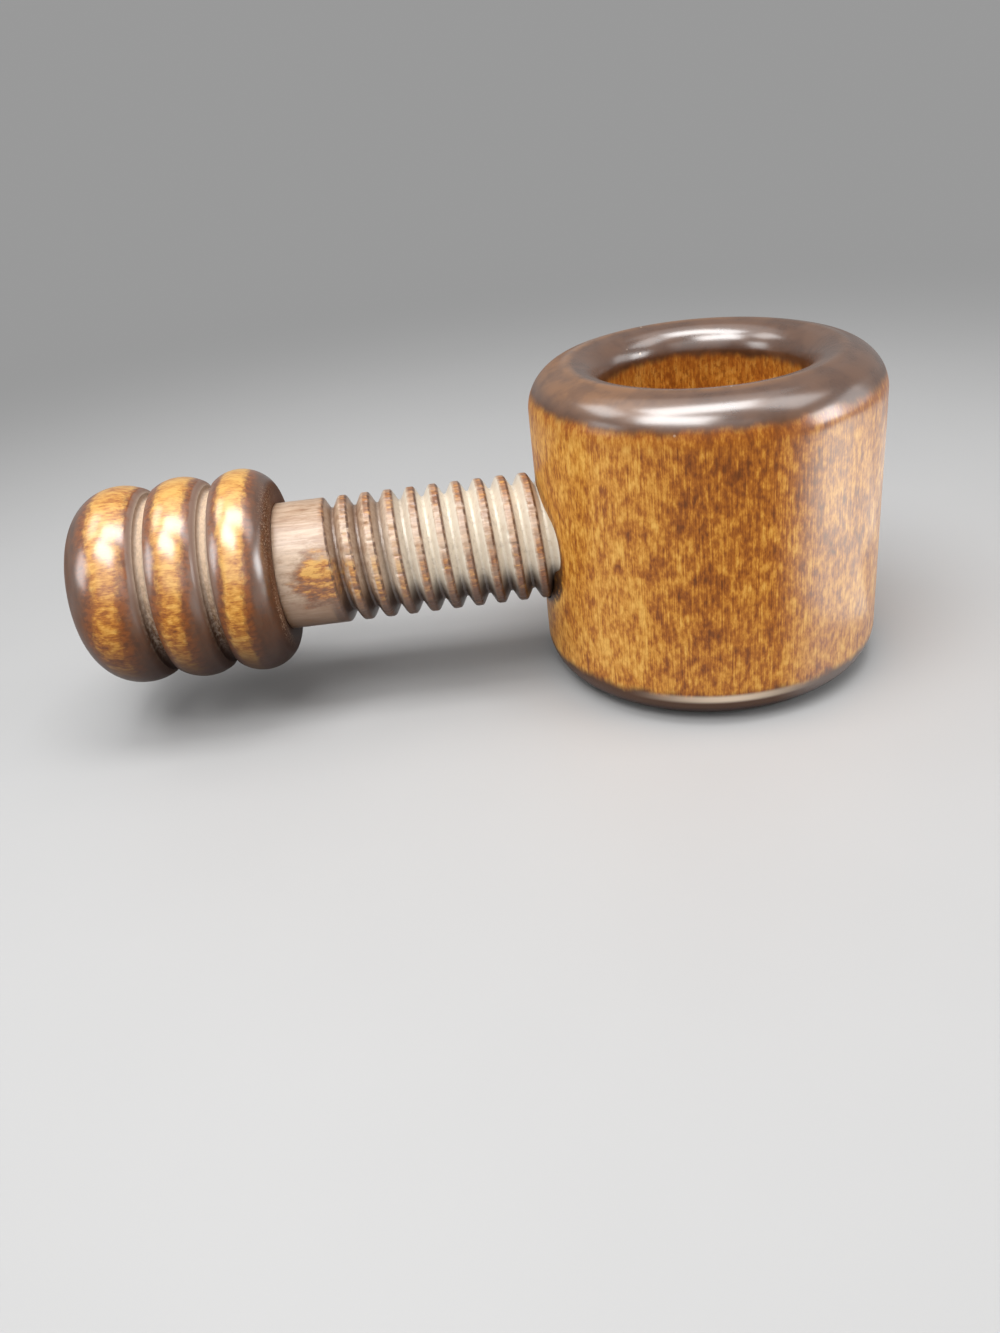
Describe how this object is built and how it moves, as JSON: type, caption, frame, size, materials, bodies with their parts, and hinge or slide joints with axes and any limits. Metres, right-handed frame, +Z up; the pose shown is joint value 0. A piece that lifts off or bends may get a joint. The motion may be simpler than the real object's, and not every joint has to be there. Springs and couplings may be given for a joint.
{
  "type": "screw nutcracker",
  "caption": "Turned wooden screw nutcracker: a thick-walled cup with a rolled rim, and a threaded wooden spindle with a beaded knob that presses a nut against the cup's wall.",
  "frame": {"origin": "centre of the cup's flat foot", "axes": "+Z up the axis of the cup, +X along the screw from the knob towards the cup"},
  "size_m": [0.1509, 0.0634, 0.0587],
  "materials": {
    "stained_wood": "stained golden brown with dark flecks, glossy lacquer",
    "bare_wood": "bare, worn and dusty, matt",
    "dowel_wood": "bare, matt"
  },
  "bodies": {
    "cup": {"cup": "stained_wood"},
    "feed": {"handle_dowel": "dowel_wood"},
    "screw": {"screw_spindle": "bare_wood", "knob": "stained_wood"}
  },
  "joints": [
    {"name": "screw_feed", "type": "slide", "parent": "cup", "child": "feed", "axis": [1, 0, 0], "range_m": [-0.00856, 0.02996]},
    {"name": "screw_turn", "type": "hinge", "parent": "feed", "child": "screw", "pos_m": [-0.081, 0, 0.0277], "axis": [1, 0, 0], "range_deg": [-720, 2520]}
  ],
  "couplings": [
    {"joint": "screw_feed", "follows": "screw_turn", "m_per_rad": 0.00068118}
  ]
}
